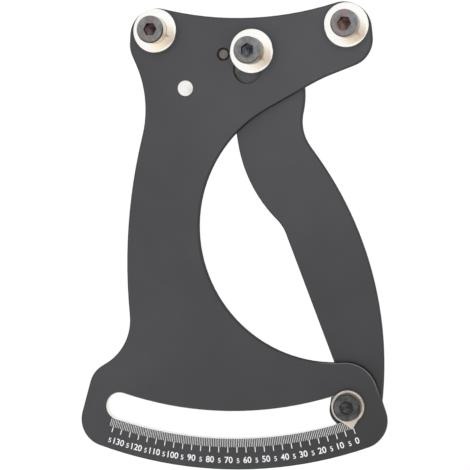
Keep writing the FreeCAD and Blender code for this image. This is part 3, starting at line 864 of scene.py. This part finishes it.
def makePost(settings):
    low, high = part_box("spring_post")
    at = middleOf("spring_post")
    radius, seat, crown = settings["radius"] * mm, settings["seat"] * mm, settings["crown"] * mm
    legHalf = settings["legHalf"] * mm
    leg = low.z + settings["leg"] * mm
    rings = [(seat, low.z), (radius, low.z + settings["lead"] * mm), (radius, leg - legHalf),
             (seat, leg - legHalf), (seat, leg + legHalf), (radius, leg + legHalf),
             (radius, high.z - crown)]
    for share in settings["dome"]:
        rings.append((radius * share, high.z - crown * share ** 2))
    piece = turnPiece(rings, at)
    roundEdges(piece, settings["bevel"] * mm, limit=40)
    smoothPiece(piece)
    material = makeTurnedMaterial("postBright", "bright", at)
    tree = material.node_tree
    peened = groupNode(tree, grainGroup, placedCoordinates(tree), Grain=settings["grain"],
                       Cloud=settings["cloud"])
    bumpOn(tree, tree.nodes["Principled BSDF"], peened.outputs["Height"], settings["bump"],
           settings["distance"])   # hammered, not turned
    return dressPiece(piece, "springPostPeened", material, "main_body",
                      ("spring_post",))


def makePin(settings):
    low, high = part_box("spring_pin")
    at = middleOf("spring_pin")
    radius, head, lead = (settings[key] * mm for key in ("radius", "head", "lead"))
    under = low.z + settings["headHeight"] * mm
    rings = [(head - lead, low.z), (head, low.z + lead), (head, under), (radius, under),
             (radius, high.z)]
    piece = turnPiece(rings, at, settings["sides"])
    roundEdges(piece, settings["bevel"] * mm, limit=40)
    smoothPiece(piece)
    material = makeTurnedMaterial("pinSteel", "steel", at)
    return dressPiece(piece, "springPinTurned", material, "lever", ("spring_pin",))


makePost(postSettings)
makePin(pinSettings)
print("post and pin made")


# torsion spring round the bush, one wire from leg to leg

springSettings = {"wire": 1.6, "coil": 5.3, "pitch": 2.15, "postSeat": 2.1, "pinSeat": 1.5,
                  "tail": 2.4, "play": 0.05, "turns": 2, "stepsPerTurn": 48,
                  "legShares": (0.25, 0.5, 0.75, 1), "round": 6, "bevel": 0.12}


def springPath(settings):
    coil, wire = settings["coil"], settings["wire"] / 2
    post, pin = middleOf("spring_post"), middleOf("spring_pin")
    ends = []
    for centre, seat in ((post, settings["postSeat"]), (pin, settings["pinSeat"])):
        offset = (centre - pivotAt) / mm
        reach = hypot(offset.x, offset.y)
        azimuth = degrees(atan2(offset.y, offset.x))
        lean = 90 - degrees(asin((coil + seat + settings["play"] + wire) / reach))
        ends.append((reach, azimuth, lean))
    (postReach, postAzimuth, postLean), (pinReach, pinAzimuth, pinLean) = ends
    startAngle = postAzimuth % 360 - postLean
    endAngle = pinAzimuth + pinLean
    wound = 360 * settings["turns"] + startAngle - endAngle
    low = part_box("torsion_spring")[0].z / mm + wire
    rise = settings["pitch"] * wound / 360
    steps = round(settings["stepsPerTurn"] * wound / 360)
    coils = []
    for step in range(steps + 1):
        share = step / steps
        turn = radians(startAngle - wound * share)
        coils.append(Vector((coil * cos(turn), coil * sin(turn), low + rise * share)))
    begin, end = radians(startAngle), radians(endAngle)
    outFirst = Vector((-sin(begin), cos(begin), 0))
    outLast = Vector((sin(end), -cos(end), 0))
    firstRun = postReach * sin(radians(postLean)) + settings["tail"]
    lastRun = pinReach * sin(radians(pinLean)) + settings["tail"]
    shares = settings["legShares"]
    firstLeg = [coils[0] + outFirst * firstRun * share for share in reversed(shares)]
    lastLeg = [coils[-1] + outLast * lastRun * share for share in shares]
    origin = Vector((pivotAt.x, pivotAt.y, 0))
    return [origin + point * mm for point in firstLeg + coils + lastLeg]


def makeSpring(settings):
    leaveAll()
    bpy.ops.curve.primitive_bezier_curve_add()
    curve = bpy.context.object
    curve.data.splines.clear()
    path = springPath(settings)
    spline = curve.data.splines.new("POLY")
    spline.points.add(len(path) - 1)
    for point, place in zip(spline.points, path):
        point.co = (*place, 1)
    curve.data.dimensions = "3D"
    curve.data.bevel_depth = settings["wire"] / 2 * mm
    curve.data.bevel_resolution = settings["round"]
    curve.data.use_fill_caps = True
    bpy.ops.object.convert(target="MESH")
    piece = bpy.context.object
    roundEdges(piece, settings["bevel"] * mm, limit=60)
    smoothPiece(piece, 50)
    if not piece.data.uv_layers:
        piece.data.uv_layers.new(name="alongWire")
    applyPlace(piece)
    dressPiece(piece, "torsionSpringWire", wireMaterial, None, ("torsion_spring",))
    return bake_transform(piece)


makeSpring(springSettings)
print("spring wound")


# pointer, from its CAD shape with soft edges

pointerSettings = {"recess": 4.5, "shown": 4.38, "floor": 0.8, "bevel": 0.08, "spare": 2.5,
                   "under": 0.01}


def makePointer(settings):
    at = middleOf("pointer_guide")
    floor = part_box("pointer")[0].z + settings["floor"] * mm
    piece = softCopy("pointer", settings["bevel"] * mm, 3)
    clearPoints(piece)
    recess, spare = settings["recess"] * mm, settings["spare"] * settings["bevel"] * mm
    for point in piece.data.vertices:   # the recess's wall, drawn in to the screw's head
        off = hypot(point.co.x - at.x, point.co.y - at.y)
        inRecess = point.co.z > floor - settings["under"] * mm
        point.select = abs(off - recess) < spare and inRecess
    editMesh()
    shrink = settings["shown"] / settings["recess"]
    bpy.ops.transform.resize(value=(shrink, shrink, 1), center_override=(at.x, at.y, floor))
    leaveMesh()
    return dressPiece(piece, "pointerDished", pointerMaterial, "lever", ("pointer",))


makePointer(pointerSettings)
print("pointer made")


# small CAD pieces that keep their shapes

for node, kind in (("moving_spool_spacer", "steel"), ("pointer_guide", "steel"),
                   ("pivot_washer", "steel"), ("pivot_bush", "bronze")):
    nodes[node].data.materials.clear()
    nodes[node].data.materials.append(makeTurnedMaterial(node + "Finish", kind, middleOf(node)))
for node in ("thrust_washer", "guide_washer"):
    nodes[node].data.materials.clear()
    nodes[node].data.materials.append(nylonMaterial)
print("small pieces finished")


# the scale, printed on the foot of the main plate

scaleSettings = {"zeroAngle": 19.56, "unitAngle": 0.27, "fineMarks": 138, "longMarks": 28,
                 "inner": 123.84, "fineOuter": 126.5, "longOuter": 128.28, "fineWidth": 0.14,
                 "longWidth": 0.25, "thick": 0.02, "labelZero": 19.91, "labelUnit": 0.271,
                 "labelShift": -0.4, "zeroBack": 0.24,
                 "tens": {"reach": 130.67, "size": 2.85, "wide": 0.97, "bolder": 0.035, "kern": -0.28},
                 "fives": {"reach": 130.92, "size": 2.2, "wide": 1.0, "bolder": 0.02, "kern": 0}}


def makeMarks(name, inner, outer, width, count, stepUnits, settings):
    zero = radians(settings["zeroAngle"])
    step = radians(settings["unitAngle"] * stepUnits)
    leaveAll()
    bpy.ops.mesh.primitive_cube_add(size=1, location=(pivotAt.x, pivotAt.y, plateFront))
    mark = bpy.context.object
    editMesh()
    bpy.ops.transform.resize(value=(width * mm, (outer - inner) * mm, settings["thick"] * mm),
                             center_override=tuple(mark.location))
    bpy.ops.transform.translate(value=(0, -(inner + outer) / 2 * mm, settings["thick"] * mm / 2))
    leaveMesh()
    mark.rotation_euler.z = zero
    leaveAll()
    bpy.ops.object.empty_add(location=mark.location, rotation=(0, 0, zero - step))
    pitch = bpy.context.object
    pick(mark)
    array = mark.modifiers.new("round the arc", "ARRAY")
    array.use_relative_offset = False
    array.use_object_offset = True
    array.offset_object = pitch
    array.count = count
    bpy.ops.object.modifier_apply(modifier=array.name)
    bpy.data.objects.remove(pitch)
    applyPlace(mark)
    return dressPiece(mark, name, printMaterial, "main_body")


def makeNumerals(settings):
    pieces = []
    for index in range(settings["longMarks"]):
        value = 5 * index
        look = settings["tens" if value % 10 == 0 else "fives"]
        angle = radians(settings["labelZero"] - value * settings["labelUnit"]
                        - (settings["zeroBack"] if index == 0 else 0))
        leaveAll()
        bpy.ops.object.text_add()
        label = bpy.context.object
        label.data.body = str(value) if value % 10 == 0 else "5"
        label.data.size = look["size"] * mm
        label.data.offset = look["bolder"] * mm
        label.data.extrude = settings["thick"] * mm / 2
        label.data.resolution_u = 6
        for place, letter in enumerate(label.data.body):
            if letter == "1":   # the one is narrow, so what follows moves closer
                label.data.body_format[place].kerning = look["kern"]
        bpy.ops.object.convert(target="MESH")
        bpy.ops.object.origin_set(type="ORIGIN_GEOMETRY", center="BOUNDS")
        label = bpy.context.object
        label.scale.x = look["wide"]
        label.rotation_euler.z = angle
        reach = look["reach"] * mm
        label.location = (pivotAt.x + settings["labelShift"] * mm + reach * sin(angle),
                          pivotAt.y - reach * cos(angle), plateFront + settings["thick"] * mm / 2)
        applyPlace(label)
        pieces.append(label)
    leaveAll()
    for label in pieces:
        label.select_set(True)
    bpy.context.view_layer.objects.active = pieces[0]
    bpy.ops.object.join()
    return dressPiece(bpy.context.object, "scaleNumerals", printMaterial, "main_body")


makeMarks("scaleFineMarks", scaleSettings["inner"], scaleSettings["fineOuter"],
          scaleSettings["fineWidth"], scaleSettings["fineMarks"], 1, scaleSettings)
makeMarks("scaleLongMarks", scaleSettings["fineOuter"], scaleSettings["longOuter"],
          scaleSettings["longWidth"], scaleSettings["longMarks"], 5, scaleSettings)
makeNumerals(scaleSettings)
print("scale printed")


# floor, lamps, world and camera

# white where the camera, a gloss or a glass sees it, at a plain level for the rest
def seenRay(tree):
    rays = addNode(tree, "LightPath").outputs
    seen = mathNode(tree, "MAXIMUM", rays["Is Camera Ray"], rays["Is Glossy Ray"])
    return mathNode(tree, "MAXIMUM", seen, rays["Is Transmission Ray"])


floorSettings = {"size": 6.0, "drop": 0.2, "colour": (0.86, 0.86, 0.86), "clean": 0.95,
                 "glow": 1.04}


def makeFloor(settings):
    leaveAll()
    bpy.ops.mesh.primitive_plane_add(size=settings["size"],
                                     location=(0, 0, -settings["drop"] * mm))
    floor = bpy.context.object
    floor.name = "paperFloor"
    material, tree, shader = newMaterial("floorPaper")
    shader.inputs["Base Color"].default_value = (*settings["colour"], 1)
    shader.inputs["Roughness"].default_value = 1
    shader.inputs["Specular IOR Level"].default_value = 0
    glow = addNode(tree, "Emission", {"Color": (1, 1, 1, 1), "Strength": settings["glow"]})
    seen = mathNode(tree, "MULTIPLY", seenRay(tree), settings["clean"])
    mix = addNode(tree, "MixShader", {0: seen, 1: shader.outputs[0], 2: glow.outputs[0]})
    tree.links.new(mix.outputs[0], tree.nodes["Material Output"].inputs["Surface"])
    floor.data.materials.append(material)


# a white tent, brightest round one direction overhead; bright metal also finds a warm patch in it
tentSettings = {"low": 0.35, "bright": 8.0, "power": 25, "towards": (0.2, -0.06, 0.978),
                "warmAlong": -28, "warmNear": 0.008, "warmAside": -0.058, "warmStretch": 8,
                "warm": [(0.0, (0.53, 0.41, 0.31)), (0.09, (0.56, 0.44, 0.34)),
                         (0.15, (0.85, 0.75, 0.6)), (0.21, (1, 1, 1))]}


def makeWorld(settings):
    world = bpy.data.worlds.new("studio")
    bpy.context.scene.world = world
    world.use_nodes = True
    tree = world.node_tree
    background = tree.nodes["Background"]
    direction = addNode(tree, "TexCoord").outputs["Generated"]
    angle = radians(settings["warmAlong"])
    outward = mathNode(tree, "SUBTRACT", alongNode(tree, direction, (cos(angle), sin(angle), 0)),
                       settings["warmNear"])
    outward = mathNode(tree, "MINIMUM", outward,
                       mathNode(tree, "DIVIDE", outward, settings["warmStretch"]))
    aside = mathNode(tree, "SUBTRACT", alongNode(tree, direction, (-sin(angle), cos(angle), 0)),
                     settings["warmAside"])
    off = lengthOf(tree, outward, aside)
    glossy = addNode(tree, "LightPath").outputs["Is Glossy Ray"]
    tree.links.new(mixColours(tree, glossy, (1, 1, 1), colourRamp(tree, off, settings["warm"])),
                   background.inputs["Color"])
    along = alongNode(tree, direction, settings["towards"])
    near = mathNode(tree, "POWER", mathNode(tree, "MAXIMUM", along, 0), settings["power"])
    glare = mathNode(tree, "ADD", mathNode(tree, "MULTIPLY", near, settings["bright"]),
                     settings["low"])
    tree.links.new(spreadOf(tree, seenRay(tree), 0, 1, glare, 1), background.inputs["Strength"])


lampSettings = {
    "keySoftbox": {"place": (0.05, 0.06, 0.32), "size": 0.12, "watts": 0.12, "aim": (0, 0.05, 0)},
}


def makeLamp(name, settings):
    leaveAll()
    bpy.ops.object.light_add(type="AREA", location=settings["place"])
    lamp = bpy.context.object
    lamp.name = name
    lamp.data.size = settings["size"]
    lamp.data.energy = settings["watts"]
    lamp.visible_glossy = False
    aim = Vector(settings["aim"]) - Vector(settings["place"])
    lamp.rotation_euler = aim.to_track_quat("-Z", "Y").to_euler()


cameraSettings = {"yaw": 11.68, "pitch": 2.63, "distance": 0.6129, "focalPixels": 1909,
                  "picture": 470, "sensor": 36, "aimFromPivot": (3.84, -57.9)}


def makeCamera(settings):
    leaveAll()
    bpy.ops.object.camera_add()
    camera = bpy.context.object
    yaw, pitch = radians(settings["yaw"]), radians(settings["pitch"])
    back = Vector((sin(yaw) * cos(pitch), sin(pitch), cos(yaw) * cos(pitch)))
    right = Vector((0, 1, 0)).cross(back).normalized()
    up = back.cross(right)
    aimX, aimY = settings["aimFromPivot"]
    aim = Vector((pivotAt.x + aimX * mm, pivotAt.y + aimY * mm, plateFront))
    turn = Matrix((right, up, back)).transposed().to_4x4()
    camera.matrix_world = Matrix.Translation(aim + back * settings["distance"]) @ turn
    camera.data.sensor_width = settings["sensor"]
    camera.data.lens = settings["focalPixels"] / settings["picture"] * settings["sensor"]
    camera.data.clip_start = 0.01
    camera.data.clip_end = 20
    bpy.context.scene.camera = camera


makeFloor(floorSettings)
makeWorld(tentSettings)
for name, settings in lampSettings.items():
    makeLamp(name, settings)
makeCamera(cameraSettings)
bpy.context.scene.view_settings.view_transform = "Standard"
print("studio ready")
